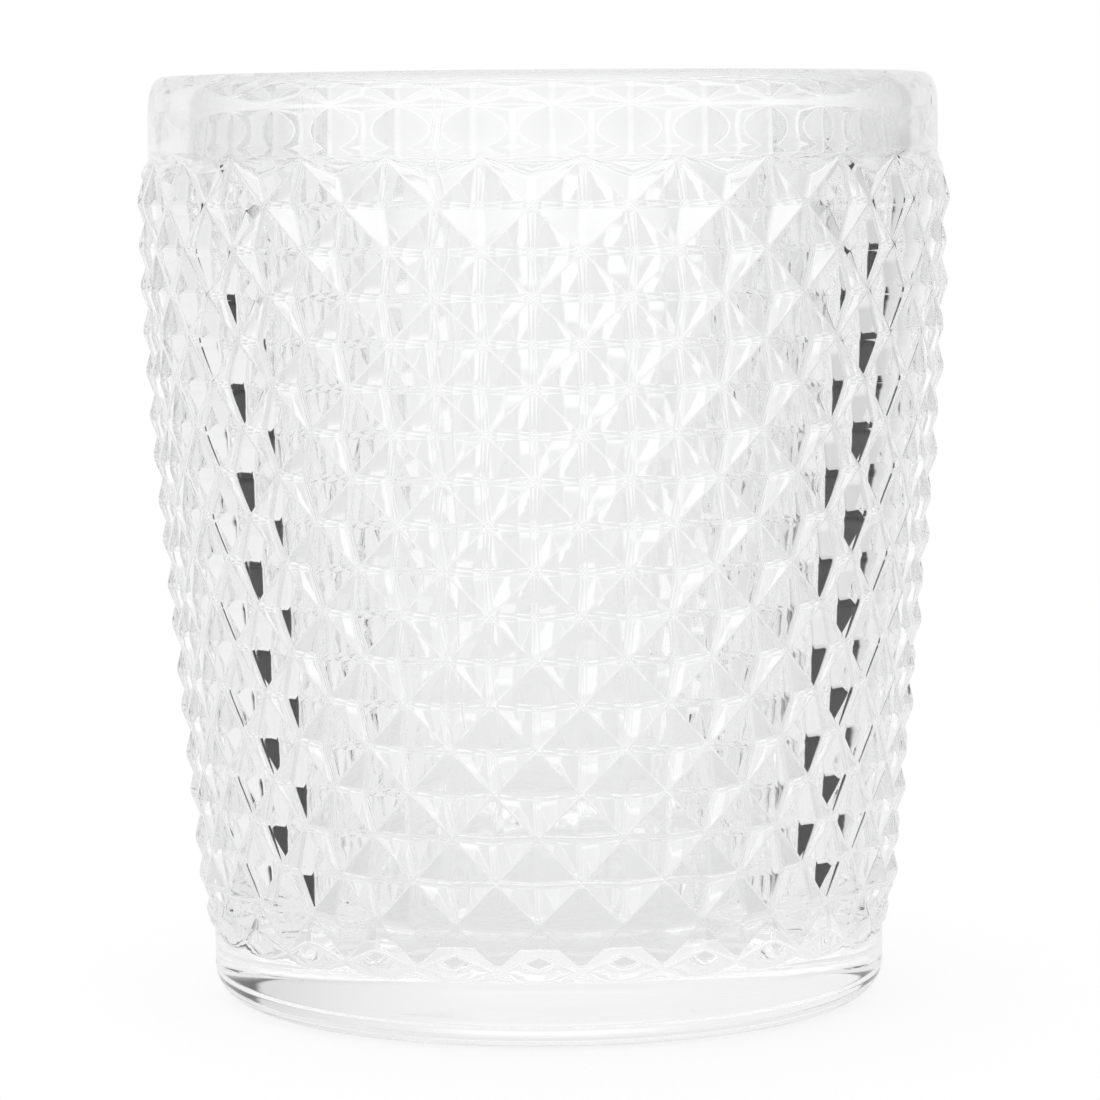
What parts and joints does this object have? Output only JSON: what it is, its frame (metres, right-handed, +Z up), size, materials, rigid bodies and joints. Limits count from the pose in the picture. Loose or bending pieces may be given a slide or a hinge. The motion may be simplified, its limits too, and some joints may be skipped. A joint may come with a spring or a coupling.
{
  "type": "whiskey tumbler",
  "caption": "Straight-tapered pressed glass tumbler with a smooth rim band, an all-over belt of raised diamond points and a smooth heavy heel.",
  "frame": {"origin": "centre of the base, on the surface that the tumbler stands on", "axes": "+Z up along the axis of the glass, out of its mouth; -Y towards the viewer, where a column of diamond points runs up the middle"},
  "size_m": [0.0836, 0.0837, 0.095],
  "materials": {
    "clear_glass": "fire-polished, clear and colourless"
  },
  "bodies": {
    "root": {"tumbler": "clear_glass"}
  },
  "joints": []
}
